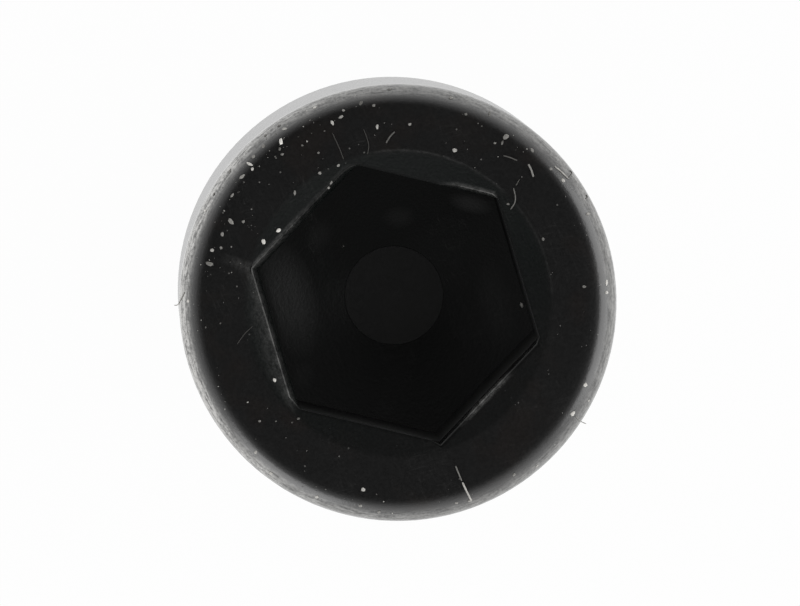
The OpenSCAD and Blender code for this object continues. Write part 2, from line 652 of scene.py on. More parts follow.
def mark_sharp(bm, limit):
    """Shades the mesh smooth, apart from edges that are sharp already or turn by more than the
    limit."""
    for f in bm.faces:
        f.smooth = True
    for e in bm.edges:
        e.smooth = e.smooth and len(e.link_faces) == 2 and e.calc_face_angle() < limit


def build_mesh(bm, name):
    """Turns a mesh drawn in millimetres into an object at the origin, in metres."""
    bmesh.ops.scale(bm, vec=(MM, MM, MM), verts=bm.verts)
    mesh = bpy.data.meshes.new(name)
    bm.to_mesh(mesh)
    bm.free()
    piece = bpy.data.objects.new(name, mesh)
    bpy.context.scene.collection.objects.link(piece)
    return piece


class CAPSCREW_OT_screw(bpy.types.Operator):
    """Builds the screw as one closed mesh in place of its plain solid"""

    bl_idname = "capscrew.screw"
    bl_label = "Screw"

    def execute(self, context):
        size = Sizes(context.scene.screw)
        bm = bmesh.new()
        add_thread(bm, size)
        add_head(bm, size, context.scene.wear.rubbed_at)
        add_socket(bm, size)
        close_end(bm, size)
        bmesh.ops.recalc_face_normals(bm, faces=bm.faces)
        mark_sharp(bm, SHARP_TURN)
        # Wear, which on the rim is partly painted highlight.
        rubbed = bm.verts.layers.float.new(WEAR_AND_RIM_HIGHLIGHT)
        for v in bm.verts:
            v[rubbed] = wear_at(size, context.scene.wear, v)
        piece = build_mesh(bm, SCREW)
        normals = piece.modifiers.new("Flat faces stay flat", "WEIGHTED_NORMAL")
        normals.keep_sharp = True
        piece.data.materials.append(black_oxide(context.scene.finish, size))
        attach(piece, BODY)
        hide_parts(NODE)
        return {"FINISHED"}


# ---------------------------------------------------------------- the dust

# The places in the lists below are in millimetres on a head drawn a little small and off its axis.
# These bring them to the real one.
LIST_SCALE = 1.01345
LIST_RIGHT = -0.0156
LIST_UP = 0.0951
LIST_DIGITS = 2  # decimals of a millimetre that a place keeps

# The grains that show most: how far right of the axis and how far up each lies as the camera sees
# the head, its length and width, all in mm, its lean in degrees, and its shade from dark to pale.
GRAINS = (
    (-4.7, 6.4, 0.28, 0.16, 90, 1.0),
    (-4.8, 2.85, 0.22, 0.14, 35, 0.95),
    (-5.4, 2.4, 0.22, 0.17, 100, 0.9),
    (-7.72, 3.63, 0.12, 0.11, 0, 1.0),
    (-4.55, 6.9, 0.22, 0.11, 0, 0.7),
    (-5.95, 5.5, 0.3, 0.12, -30, 0.85),
    (-5.85, 5.3, 0.15, 0.11, 80, 0.8),
    (-6.25, 5.0, 0.3, 0.13, 35, 0.55),
    (-6.65, 4.25, 0.2, 0.11, 50, 0.5),
    (-6.7, 3.2, 0.32, 0.17, -50, 0.5),
    (-6.2, 3.2, 0.14, 0.13, 0, 0.45),
    (-7.05, 2.7, 0.19, 0.13, 80, 0.5),
    (-7.45, 2.05, 0.16, 0.14, 0, 0.65),
    (-7.1, 2.15, 0.14, 0.1, -60, 0.4),
    (-7.55, 1.5, 0.34, 0.18, -15, 0.4),
    (-8.4, 0.0, 0.14, 0.13, 0, 0.9),
    (-5.4, 6.2, 0.18, 0.14, 60, 0.45),
    (-4.65, 5.9, 0.14, 0.12, 0, 0.4),
    (-4.75, 6.1, 0.15, 0.09, 80, 0.35),
    (-5.8, 5.8, 0.18, 0.13, 50, 0.5),
    (-6.74, 5.195, 0.22, 0.1, 60, 0.45),
    (-4.15, 4.35, 0.2, 0.1, 90, 0.5),
    (-3.15, 5.15, 0.14, 0.13, 0, 0.5),
    (-2.4, 5.45, 0.14, 0.11, 40, 0.6),
    (-2.7, 4.75, 0.18, 0.08, 60, 0.5),
    (-2.8, 4.55, 0.13, 0.12, 0, 0.55),
    (-3.85, 6.25, 0.1, 0.09, 0, 0.3),
    (-3.2, 5.95, 0.1, 0.09, 0, 0.4),
    (-2.65, 7.15, 0.22, 0.11, 110, 0.75),
    (-2.3, 7.4, 0.24, 0.11, 35, 0.55),
    (-2.2, 7.65, 0.12, 0.1, 0, 0.5),
    (-1.5, 7.95, 0.24, 0.13, 60, 0.3),
    (-1.0, 7.85, 0.14, 0.12, 0, 0.4),
    (-0.85, 7.0, 0.22, 0.11, 85, 0.7),
    (-3.35, 7.75, 0.17, 0.11, 10, 0.9),
    (0.45, 7.1, 0.13, 0.12, 0, 0.5),
    (2.25, 6.05, 0.19, 0.18, 0, 0.65),
    (2.1, 8.15, 0.18, 0.15, 30, 0.5),
    (2.7, 7.5, 0.12, 0.11, 0, 0.35),
    (3.65, 7.5, 0.24, 0.1, 80, 0.35),
    (4.3, 6.6, 0.26, 0.2, 40, 0.45),
    (4.15, 6.35, 0.2, 0.09, 70, 0.35),
    (3.85, 6.35, 0.12, 0.1, 0, 0.4),
    (5.35, 6.05, 0.22, 0.11, -55, 0.45),
    (6.1, 5.3, 0.14, 0.12, 0, 0.5),
    (6.6, 4.85, 0.18, 0.14, -40, 0.75),
    (4.4, 3.9, 0.12, 0.1, 0, 0.35),
    (5.8, 2.5, 0.15, 0.1, 100, 0.35),
    (7.45, 0.6, 0.17, 0.12, 0, 0.4),
    (7.6, 3.5, 0.22, 0.13, 20, 0.6),
    (8.35, 0.75, 0.26, 0.11, 85, 0.95),
    (8.35, 0.35, 0.16, 0.14, 0, 0.9),
    (7.5, -3.35, 0.19, 0.17, 0, 0.9),
    (7.65, -4.0, 0.12, 0.1, 0, 0.8),
    (7.0, -4.5, 0.24, 0.17, 45, 0.9),
    (5.58, -6.63, 0.15, 0.1, 40, 0.7),
    (4.65, -6.95, 0.16, 0.12, 60, 0.5),
    (2.9, -8.0, 0.2, 0.12, 10, 0.6),
    (2.35, -8.1, 0.14, 0.1, 0, 0.6),
    (-1.4, -7.55, 0.18, 0.17, 0, 0.75),
    (-1.5, -8.2, 0.14, 0.12, 0, 0.6),
    (-0.75, -8.45, 0.16, 0.12, 30, 0.55),
    (-3.25, -7.85, 0.18, 0.13, 40, 0.8),
    (-5.1, -6.9, 0.2, 0.14, 20, 0.8),
    (-5.7, -6.05, 0.17, 0.12, 60, 0.7),
    (-4.95, -3.15, 0.18, 0.14, -45, 0.85),
    (-5.55, -4.8, 0.12, 0.1, 0, 0.4),
    (-4.0, -4.7, 0.12, 0.1, 0, 0.3),
    (5.2, -0.44, 0.24, 0.14, 110, 0.8),
    (-2.06, 1.92, 0.1, 0.09, 0, 0.5),
    (-4.78, 7.02, 0.16, 0.12, 10, 0.4),
    (-5.32, 6.63, 0.15, 0.1, 30, 0.4),
    (-0.35, 8.48, 0.2, 0.12, 0, 0.4),
    (-7.38, 4.28, 0.14, 0.1, 60, 0.4),
)

# The fibres that show most: the points that each runs through, right and up in mm, its width in
# mm, and its shade.
FIBRES = (
    (((2.3, -6.6), (2.42, -6.895), (2.55, -7.2)), 0.06, 0.4),
    (((2.58, -7.26), (2.75, -7.61), (2.95, -8.0)), 0.08, 0.75),
    (((5.2, 5.5), (5.3, 5.3), (5.4, 5.0)), 0.08, 0.5),
    (((4.6, 4.55), (4.68, 4.2), (4.65, 3.95), (4.5, 3.7)), 0.05, 0.35),
    (((4.85, 4.9), (4.7, 4.65)), 0.04, 0.2),
    (((-0.5, 6.35), (-0.35, 6.6), (-0.15, 6.8)), 0.07, 0.25),
    (((4.2, 5.85), (4.45, 5.78), (4.75, 5.65)), 0.06, 0.2),
    (((-6.45, -1.7), (-6.15, -1.3), (-5.85, -1.0)), 0.03, 0.12),
    (((6.25, 5.4), (6.5, 5.2), (6.8, 4.9)), 0.06, 0.75),
    (((-2.65, 6.75), (-2.35, 6.1), (-2.2, 5.7)), 0.04, 0.1),
    (((-1.4, 6.9), (-1.2, 6.3), (-1.25, 5.9)), 0.04, 0.06),
    (((-8.55, 0.35), (-8.8, -0.15), (-8.95, -0.25)), 0.04, 0.6),
    (((7.1, -4.6), (7.35, -4.85), (7.6, -5.0)), 0.04, 0.5),
    (((6.8, 4.95), (6.96, 5.12), (6.88, 5.22)), 0.04, 0.3),
    (((7.5, 4.1), (7.58, 4.16), (7.53, 4.25)), 0.04, 0.3),
)


# Where the scattered dust lies: its furthest reach, and the share of it in a band along the rim
# and where that band begins, with the reach and the band's start as shares of the head's radius.
DUST_REACH = 0.975
RIM_SHARE = 0.4
RIM_BAND = 0.87
# The chance that a grain stays in the socket, and that one stays on the head's cleanest side.
IN_SOCKET = 0.01
ON_CLEAN_SIDE = 0.12
# Shades of the scattered dust.
DARKEST = 0.25
SHADE_RANGE = 0.6
FIBRE_STEPS = 10
FIBRE_SIDES = 6
FIBRE_TIP = 0.6  # the width of a fibre's tips, as a share of its width
FIBRE_LIFT = 0.4  # how high it lies, as a share of its width


def on_head(right, up):
    """A place from the lists, in millimetres on the real head."""
    moved = (right * LIST_SCALE + LIST_RIGHT, up * LIST_SCALE + LIST_UP)
    return tuple(round(length, LIST_DIGITS) for length in moved)


def view_axes(studio):
    """The directions of the camera's right and top on the ground."""
    roll = studio.view_roll
    return Vector((math.cos(roll), math.sin(roll), 0)), Vector((-math.sin(roll), math.cos(roll), 0))


class Ground:
    """The surface of the finished screw, seen from above, in millimetres."""

    def __init__(self, context):
        piece = bpy.data.objects[SCREW]
        self.tree = BVHTree.FromObject(piece, context.evaluated_depsgraph_get())
        self.axes = view_axes(context.scene.studio)
        self.high = 2 * height_of("socket")

    def at(self, right, up):
        """The point and the normal under a place on the head, or None past its edge."""
        spot = (self.axes[0] * right + self.axes[1] * up) * MM
        spot.z = self.high
        point, normal, _, _ = self.tree.ray_cast(spot, Vector((0, 0, -1)))
        if point is None or point.z < height_of("bearing_face"):
            return None
        return point / MM, normal

    def face_up(self, right, up):
        """Where something lies on the surface: a matrix with its Z axis along the normal."""
        found = self.at(right, up)
        if found is None:
            raise RuntimeError(f"nothing lies under ({right:.2f}, {up:.2f}) mm")
        point, normal = found
        side = (self.axes[0] - normal * self.axes[0].dot(normal)).normalized()
        turn = Matrix((side, normal.cross(side), normal)).transposed()
        return Matrix.Translation(point) @ turn.to_4x4()


def add_grain(bm, shades, rng, ground, grain, steps):
    """One irregular grain, flattened, and sunk a little where it lies."""
    right, up, size, width, lean, shade = grain
    made = bmesh.ops.create_icosphere(bm, subdivisions=steps, radius=0.5)["verts"]
    for v in made:
        v.co *= rng.uniform(0.75, 1.15)
        v[shades] = shade
    thick = min(size, width) / 2
    turn = Matrix.Rotation(math.radians(lean), 4, "Z")
    shape = Matrix.Diagonal((size, width, thick, 1))
    lift = Matrix.Translation((0, 0, thick / 5))
    bmesh.ops.transform(bm, matrix=ground.face_up(right, up) @ lift @ turn @ shape, verts=made)


def scattered(dust, rng, size):
    """Small grains over the head, most of them on its dusty side."""
    shortest, longest = in_mm(dust.smallest), in_mm(dust.largest)
    found = 0
    while found < dust.grains:
        radius = size.head_r * DUST_REACH * math.sqrt(rng.random())
        if rng.random() < RIM_SHARE:
            radius = size.head_r * rng.uniform(RIM_BAND, DUST_REACH)
        heading = rng.uniform(0, FULL_TURN)
        dustiness = 0.5 + 0.5 * math.cos(heading - dust.dusty_at)
        if radius < size.mouth_r and rng.random() > IN_SOCKET:
            continue
        if rng.random() > ON_CLEAN_SIDE + (1 - ON_CLEAN_SIDE) * dustiness**3:
            continue
        long = shortest + (longest - shortest) * rng.random() ** 3
        wide = long * rng.uniform(0.5, 1)
        shade = DARKEST + SHADE_RANGE * rng.random() ** 3
        found += 1
        yield (
            radius * math.cos(heading), radius * math.sin(heading), long, wide,
            rng.uniform(0, 180), shade,
        )


def along_path(points, steps):
    """Evenly spaced places on a smooth curve through the points."""
    ends = [points[0], *points, points[-1]]
    for i in range(steps + 1):
        at = i / steps * (len(points) - 1)
        k = min(int(at), len(points) - 2)
        t = at - k
        a, b, c, d = (Vector(p) for p in ends[k:k + 4])
        yield 0.5 * (2 * b + (c - a) * t + (2 * a - 5 * b + 4 * c - d) * t**2
                     + (3 * b - a - 3 * c + d) * t**3)


def add_fibre(bm, shades, ground, points, width, shade):
    """One fibre that lies on the surface, and runs straight on past its edge."""
    path = []
    for place_on in along_path(points, FIBRE_STEPS):
        found = ground.at(*place_on)
        flat = ground.axes[0] * place_on.x + ground.axes[1] * place_on.y
        if found:
            path.append(found[0] + found[1] * width * FIBRE_LIFT)
        else:
            flat.z = 2 * path[-1].z - path[-2].z
            path.append(flat)
    rings = []
    for i, point in enumerate(path):
        ahead = path[min(i + 1, len(path) - 1)] - path[max(i - 1, 0)]
        turn = ahead.to_track_quat("Z", "Y").to_matrix().to_4x4()
        thin = width / 2 * (FIBRE_TIP if i in (0, len(path) - 1) else 1)
        ring = bmesh.ops.create_circle(
            bm, segments=FIBRE_SIDES, radius=thin, matrix=Matrix.Translation(point) @ turn,
        )["verts"]
        for v in ring:
            v[shades] = shade
        rings.append(edges_of(ring))
    for a, b in zip(rings, rings[1:]):
        bmesh.ops.bridge_loops(bm, edges=a + b)
    for ring in (rings[0], rings[-1]):
        bmesh.ops.contextual_create(bm, geom=ring)


def finish_dust(bm, name, material):
    """Shades a piece of dust or lint smooth, makes it an object on the body and gives it its finish."""
    bmesh.ops.recalc_face_normals(bm, faces=bm.faces)
    mark_sharp(bm, math.pi)
    piece = build_mesh(bm, name)
    piece.data.materials.append(material)
    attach(piece, BODY)


class CAPSCREW_OT_dust(bpy.types.Operator):
    """Lays the grains of dust on the head"""

    bl_idname = "capscrew.dust"
    bl_label = "Dust"

    def execute(self, context):
        dust = context.scene.dust
        rng = random.Random(dust.seed)
        ground = Ground(context)
        bm = bmesh.new()
        shades = bm.verts.layers.float.new(SHADE)
        for right, up, *grain in GRAINS:
            add_grain(bm, shades, rng, ground, (*on_head(right, up), *grain), steps=2)
        for grain in scattered(dust, rng, Sizes(context.scene.screw)):
            add_grain(bm, shades, rng, ground, grain, steps=1)
        finish_dust(bm, "dust_grains", dust_material("dust", context.scene.finish, scale=14))
        return {"FINISHED"}


class CAPSCREW_OT_lint(bpy.types.Operator):
    """Lays the fibres of lint on the head"""

    bl_idname = "capscrew.lint"
    bl_label = "Lint"

    def execute(self, context):
        ground = Ground(context)
        bm = bmesh.new()
        shades = bm.verts.layers.float.new(SHADE)
        for points, width, shade in FIBRES:
            add_fibre(bm, shades, ground, [on_head(*point) for point in points], width, shade)
        finish_dust(bm, "lint_fibres", dust_material("lint", context.scene.finish, scale=6))
        return {"FINISHED"}


# ---------------------------------------------------------------- nodes


def add_node(tree, kind, inputs=None, **settings):
    """A shader node with its settings and inputs. An input that is a socket is linked."""
    made = tree.nodes.new(kind)
    for name, value in settings.items():
        setattr(made, name, value)
    for name, value in (inputs or {}).items():
        if isinstance(value, bpy.types.NodeSocket):
            tree.links.new(value, made.inputs[name])
        else:
            made.inputs[name].default_value = value
    return made


def calc(tree, operation, *values, clamp=False):
    """The result of a Math node."""
    inputs = dict(enumerate(values))
    return add_node(tree, "ShaderNodeMath", inputs, operation=operation, use_clamp=clamp).outputs[0]


def remap(tree, value, low, high, to_low=0.0, to_high=1.0):
    """A value with its range from low to high stretched to another range, and clamped to it."""
    return add_node(tree, "ShaderNodeMapRange", {
        "Value": value, "From Min": low, "From Max": high, "To Min": to_low, "To Max": to_high,
    }).outputs[0]


def blend(tree, amount, first, second):
    """A mix of two colours."""
    mix = add_node(tree, "ShaderNodeMix", data_type="RGBA")
    for socket, value in ((mix.inputs[0], amount), (mix.inputs[6], first), (mix.inputs[7], second)):
        if isinstance(value, bpy.types.NodeSocket):
            tree.links.new(value, socket)
        else:
            socket.default_value = (*value, 1)
    return mix.outputs[2]


def new_material(name):
    """An empty material and its node tree."""
    material = bpy.data.materials.new(name)
    material.use_nodes = True
    material.node_tree.nodes.clear()
    return material, material.node_tree


def new_group(name, inputs, output):
    """An empty node group with one value as its output. An input with no default is a vector."""
    tree = bpy.data.node_groups.new(name, "ShaderNodeTree")
    for label, default in inputs.items():
        kind = "NodeSocketVector" if default is None else "NodeSocketFloat"
        socket = tree.interface.new_socket(label, in_out="INPUT", socket_type=kind)
        if default is not None:
            socket.default_value = default
    tree.interface.new_socket(output, in_out="OUTPUT", socket_type="NodeSocketFloat")
    return tree, tree.nodes.new("NodeGroupInput").outputs, tree.nodes.new("NodeGroupOutput").inputs


def put_group(tree, group, **inputs):
    """The output of a node group placed in a tree."""
    return add_node(tree, "ShaderNodeGroup", inputs, node_tree=group).outputs[0]


def shared_group(name, build):
    """The node group of that name, built when it is first asked for."""
    return bpy.data.node_groups.get(name) or build(name)


def mottle_group(name):
    """Soft irregular grain, around 0.5."""
    tree, given, out = new_group(name, {"Vector": None, "Scale": 1.0, "Detail": 3.0}, "Value")
    grain = add_node(tree, "ShaderNodeTexNoise", {
        "Vector": given["Vector"], "Scale": given["Scale"], "Detail": given["Detail"],
        "Roughness": 0.6,
    })
    tree.links.new(remap(tree, grain.outputs[0], 0.3, 0.7), out[0])
    return tree


def streaks_group(name):
    """Streaks that run round the axis, around 0.5."""
    tree, given, out = new_group(name, {"Vector": None, "Around": 1.0, "Across": 1.0}, "Value")
    x, y, z = add_node(tree, "ShaderNodeSeparateXYZ", {0: given["Vector"]}).outputs
    radius = calc(tree, "SQRT", calc(tree, "ADD", calc(tree, "MULTIPLY", x, x),
                                     calc(tree, "MULTIPLY", y, y)))
    profile = calc(tree, "SUBTRACT", radius, z)
    around = [calc(tree, "MULTIPLY", calc(tree, "DIVIDE", a, radius), given["Around"])
              for a in (x, y)]
    where = add_node(tree, "ShaderNodeCombineXYZ", {
        0: around[0], 1: around[1], 2: calc(tree, "MULTIPLY", profile, given["Across"]),
    })
    lines = add_node(tree, "ShaderNodeTexNoise", {
        "Vector": where.outputs[0], "Scale": 1.0, "Detail": 3.0, "Roughness": 0.65,
    })
    tree.links.new(remap(tree, lines.outputs[0], 0.3, 0.7), out[0])
    return tree


def specks_group(name):
    """Sparse round specks."""
    tree, given, out = new_group(
        name, {"Vector": None, "Scale": 1.0, "Size": 0.1, "Share": 0.5}, "Mask")
    cells = add_node(tree, "ShaderNodeTexVoronoi", {
        "Vector": given["Vector"], "Scale": given["Scale"],
    })
    chance = add_node(tree, "ShaderNodeSeparateColor", {0: cells.outputs["Color"]}).outputs[0]
    kept = calc(tree, "LESS_THAN", chance, given["Share"])
    near = calc(tree, "LESS_THAN", cells.outputs["Distance"], given["Size"])
    tree.links.new(calc(tree, "MULTIPLY", kept, near), out[0])
    return tree


def hairlines_group(name):
    """A few thin straight scratches along one direction."""
    tree, given, out = new_group(
        name, {"Vector": None, "Heading": 0.0, "Along": 0.4, "Across": 9.0, "Share": 0.05}, "Mask")
    turned = add_node(tree, "ShaderNodeVectorRotate", {
        "Vector": given["Vector"], "Angle": given["Heading"],
    }, rotation_type="Z_AXIS")
    x, y, z = add_node(tree, "ShaderNodeSeparateXYZ", {0: turned.outputs[0]}).outputs
    where = add_node(tree, "ShaderNodeCombineXYZ", {
        0: calc(tree, "MULTIPLY", x, given["Along"]),
        1: calc(tree, "MULTIPLY", y, given["Across"]),
        2: calc(tree, "MULTIPLY", z, given["Along"]),
    })
    lines = add_node(tree, "ShaderNodeTexNoise", {
        "Vector": where.outputs[0], "Scale": 1.0, "Detail": 1.0, "Roughness": 0.5,
    })
    crest = calc(tree, "ABSOLUTE", calc(tree, "SUBTRACT", lines.outputs[0], 0.5))
    thin = calc(tree, "LESS_THAN", crest, 0.006)
    patch = add_node(tree, "ShaderNodeTexNoise", {"Vector": given["Vector"], "Scale": 0.35})
    chosen = calc(tree, "GREATER_THAN", patch.outputs[0], calc(tree, "SUBTRACT", 0.62, given["Share"]))
    tree.links.new(calc(tree, "MULTIPLY", thin, chosen), out[0])
    return tree


def object_mm(tree):
    """Object coordinates in millimetres."""
    place_on = add_node(tree, "ShaderNodeTexCoord").outputs["Object"]
    per_mm = 1 / MM
    return add_node(tree, "ShaderNodeMapping", {
        "Vector": place_on, "Scale": (per_mm, per_mm, per_mm),
    }).outputs[0]


def read_attribute(tree, name):
    """A value kept on the mesh."""
    return add_node(tree, "ShaderNodeAttribute", attribute_name=name).outputs["Fac"]


# ---------------------------------------------------------------- finishes

OXIDE_IOR = 1.85
# Roughness of the oxide at the ends of its fine grain, and what dust, the disc and the walls add.
OXIDE_ROUGH = (0.17, 0.23)
DUSTY_ROUGH = 0.12
WALL_ROUGH = 0.3
# How much of the dust's colour the powder on the oxide has.
POWDER_SHOWN = 0.12
# How unevenly the oxide is rubbed off: the range of the grain, and what it multiplies the wear by.
RUB_GRAIN = (0.22, 0.78)
RUB_RANGE = (0.3, 1.7)
STREAK_SHARE = 0.6
# Each scratch: how bare it is, and its depth against the height of the grain.
SCRATCH_BARE = 0.015
SCRATCH_RELIEF = -0.15
RELIEF_MM = 0.0035
RELIEF_STRENGTH = 0.5
# Metallic of the oxide where the socket's painted shade is whole: on the dark oxide it mirrors little,
# which paints the socket dark.
SHADE_METALLIC = 0.95
# How far inside and outside the lead-in's edge, and inside the disc's, their oxide fades, in mm.
MOUTH_FADE_IN = 0.2
MOUTH_FADE_OUT = 0.1
DISC_FADE = 0.03

# Painted reflections on the socket's floor, where its oxide is made shinier and so lighter: the
# middle of each patch as its heading in degrees and its distance from the axis, its half length and
# half width, all in mm, the heading of its length in degrees, and how much shinier it is.
FLOOR_REFLECTIONS = (
    (194.8, 4.35, 2.7, 1.25, 119.4, 0.17),
    (64.0, 4.93, 1.0, 0.42, -0.6, 0.15),
    (99.9, 3.25, 0.75, 0.5, 13.4, 0.06),
    (7.9, 4.18, 2.1, 0.8, 113.4, 0.06),
    (154.5, 3.98, 0.8, 0.6, 73.4, 0.05),
    (234.6, 4.98, 0.7, 0.5, 103.4, 0.05),
)
# Painted light: the side of the socket that is made shinier and so lighter, as a heading in degrees.
LIT_SIDE = -46.6
LIT_SIDE_MORE = 0.15
# How much more of that painted sheen the walls have.
LIT_WALL_MORE = 0.5


def soft_patch(tree, flat, heading, distance, long, wide, lean, strength):
    """An oval that fades out towards its edge."""
    turn = math.radians(heading)
    place_on = add_node(tree, "ShaderNodeMapping", {
        "Vector": flat, "Location": (distance * math.cos(turn), distance * math.sin(turn), 0),
        "Rotation": (0, 0, math.radians(lean)), "Scale": (long, wide, 1),
    }, vector_type="TEXTURE").outputs[0]
    off = add_node(tree, "ShaderNodeVectorMath", {0: place_on}, operation="LENGTH").outputs["Value"]
    return remap(tree, off, 0.3, 1.0, strength, 0.0)


def toward_lit_side(tree, flat):
    """How far a place lies towards the side of the socket that is painted lighter, in mm."""
    turn = math.radians(LIT_SIDE)
    return add_node(tree, "ShaderNodeVectorMath", {
        0: flat, 1: (math.cos(turn), math.sin(turn), 0),
    }, operation="DOT_PRODUCT").outputs["Value"]


def painted_socket_sheen(tree, flat, along, on_wall, off_walls):
    """Painted reflections and painted light: how much shinier, and so lighter, the floor and the walls
    of the socket are from place to place.
    """
    reflections = 0.0
    for patch in FLOOR_REFLECTIONS:
        reflections = calc(tree, "MAXIMUM", reflections, soft_patch(tree, flat, *patch))
    side = remap(tree, along, -2.0, 4.0, 0.0, LIT_SIDE_MORE)
    walls = calc(tree, "MULTIPLY", on_wall, remap(tree, along, 0.0, 4.0, 0.0, LIT_WALL_MORE))
    return calc(tree, "ADD", calc(tree, "MULTIPLY_ADD", reflections, off_walls, side), walls)


def black_oxide(finish, size):
    """Satin black oxide on alloy steel: mottled, a little brown or oily in places, rubbed bare at
    the edges, with fine dust and hairline scratches. In the socket it is darkened as painted shade
    and lightened in patches and towards one side as painted reflections, and on the rim its
    bareness also stands in for part of the highlight."""
    material, tree = new_material("black_oxide")
    mottle = shared_group("Mottle", mottle_group)
    streaks = shared_group("Streaks round the axis", streaks_group)
    specks = shared_group("Specks", specks_group)
    hairlines = shared_group("Hairlines", hairlines_group)
    where = object_mm(tree)

    fine = put_group(tree, mottle, Vector=where, Scale=9.0, Detail=4.0)
    broad = put_group(tree, mottle, Vector=where, Scale=0.45, Detail=2.0)
    turned = put_group(tree, streaks, Vector=where, Around=14.0, Across=7.0)
    powder = put_group(tree, specks, Vector=where, Scale=3.2, Size=0.11, Share=0.15)
    scratch = calc(
        tree, "MAXIMUM",
        put_group(tree, hairlines, Vector=where, Heading=0.9, Along=0.35, Across=8.0, Share=0.06),
        put_group(tree, hairlines, Vector=where, Heading=-0.5, Along=0.3, Across=7.0, Share=0.04),
    )

    x, y, z = add_node(tree, "ShaderNodeSeparateXYZ", {0: where}).outputs
    flat = add_node(tree, "ShaderNodeCombineXYZ", {0: x, 1: y, 2: 0.0}).outputs[0]
    radius = add_node(tree, "ShaderNodeVectorMath", {0: flat}, operation="LENGTH").outputs["Value"]
    above_seat = calc(tree, "GREATER_THAN", z, size.seat_z)
    in_socket = calc(
        tree, "MULTIPLY", above_seat,
        remap(tree, radius, size.mouth_r - MOUTH_FADE_IN, size.mouth_r + MOUTH_FADE_OUT, 1.0, 0.0),
    )
    # How much painted shade each place in the socket takes.
    socket_shade = read_attribute(tree, SOCKET_SHADE)
    on_wall = read_attribute(tree, WALL)
    on_disc = calc(
        tree, "MULTIPLY", above_seat,
        remap(tree, radius, size.disc_r - DISC_FADE, size.disc_r, 1.0, 0.0),
    )

    grain = calc(
        tree, "MULTIPLY_ADD", turned, STREAK_SHARE, calc(tree, "MULTIPLY", fine, 1 - STREAK_SHARE),
    )
    patchy = remap(tree, grain, *RUB_GRAIN, *RUB_RANGE)
    # Wear from the mesh, which on the rim is partly painted highlight.
    rubbed = calc(tree, "MULTIPLY", read_attribute(tree, WEAR_AND_RIM_HIGHLIGHT), patchy)
    bare = calc(tree, "MULTIPLY_ADD", scratch, SCRATCH_BARE, rubbed, clamp=True)

    browned = blend(tree, remap(tree, broad, 0.55, 1.0), finish.oxide, finish.oxide_warm)
    # Painted light: how far each place lies towards the side of the socket painted lighter.
    along = toward_lit_side(tree, flat)
    # Oily tint in the socket, partly painted shade: darkest away from the side painted lighter.
    oil_and_shade = calc(tree, "MULTIPLY", in_socket, remap(tree, along, 1.0, 5.0, 1.0, 0.2))
    oiled_and_shaded = blend(tree, oil_and_shade, browned, finish.oxide_cool)
    # Painted shade: the socket's walls and floor take the darker oxide, the disc a lighter one.
    socket_shade_color = blend(tree, on_disc, finish.oxide_shade, finish.oxide_disc)
    oxide = blend(tree, remap(tree, socket_shade, LEAD_IN_SHADE, FLOOR_SHADE), oiled_and_shaded, socket_shade_color)
    shaded = add_node(tree, "ShaderNodeHueSaturation", {
        "Value": remap(tree, fine, 0.0, 1.0, 0.86, 1.14), "Color": oxide,
    }).outputs[0]
    steel = blend(tree, bare, shaded, finish.bare)
    outside = calc(tree, "SUBTRACT", 1.0, in_socket)
    powdered = calc(tree, "MULTIPLY", calc(tree, "MULTIPLY", powder, outside), POWDER_SHOWN)
    dusty = blend(tree, powdered, steel, finish.dust)

    rough = calc(
        tree, "MULTIPLY_ADD", calc(tree, "MAXIMUM", powder, on_disc), DUSTY_ROUGH,
        remap(tree, fine, 0.0, 1.0, *OXIDE_ROUGH),
    )
    rough = calc(tree, "MULTIPLY_ADD", on_wall, WALL_ROUGH, rough, clamp=True)
    # The painted reflections on the floor fade out down the walls to their foot.
    off_walls = remap(tree, socket_shade, FLOOR_SHADE, WALL_FOOT_SHADE, 1.0, 0.0)
    painted_sheen = painted_socket_sheen(tree, flat, along, on_wall, off_walls)
    # Metallic on the dark oxide darkens the socket as painted shade, less where the painted sheen
    # lightens it.
    shaded_metallic = calc(tree, "SUBTRACT", SHADE_METALLIC, calc(tree, "MULTIPLY", in_socket, painted_sheen))
    shade_metal = calc(tree, "MULTIPLY", calc(tree, "SUBTRACT", socket_shade, on_disc, clamp=True), shaded_metallic)
    metal = calc(tree, "MAXIMUM", bare, shade_metal)
    scratched = calc(tree, "MULTIPLY_ADD", scratch, SCRATCH_RELIEF, fine)
    relief = calc(tree, "MULTIPLY_ADD", turned, STREAK_SHARE, scratched)
    bump = add_node(tree, "ShaderNodeBump", {
        "Height": relief, "Strength": RELIEF_STRENGTH, "Distance": RELIEF_MM * MM,
    })
    shader = add_node(tree, "ShaderNodeBsdfPrincipled", {
        "Base Color": dusty, "Metallic": metal, "Roughness": rough, "IOR": OXIDE_IOR,
        "Normal": bump.outputs[0],
    })
    add_node(tree, "ShaderNodeOutputMaterial", {"Surface": shader.outputs[0]})
    return material


def dust_material(name, finish, scale):
    """Dust or lint, from dark grit to pale, by the shade that each grain or fibre keeps."""
    material, tree = new_material(name)
    mottle = shared_group("Mottle", mottle_group)
    fine = put_group(tree, mottle, Vector=object_mm(tree), Scale=scale, Detail=2.0)
    shade = calc(tree, "POWER", read_attribute(tree, SHADE), 1.8)
    pale = blend(tree, shade, finish.grit, finish.dust)
    color = add_node(tree, "ShaderNodeHueSaturation", {
        "Value": remap(tree, fine, 0.0, 1.0, 0.8, 1.2), "Color": pale,
    }).outputs[0]
    shader = add_node(tree, "ShaderNodeBsdfPrincipled", {
        "Base Color": color, "Roughness": remap(tree, fine, 0.0, 1.0, 0.55, 0.8),
    })
    add_node(tree, "ShaderNodeOutputMaterial", {"Surface": shader.outputs[0]})
    return material


# ---------------------------------------------------------------- the studio


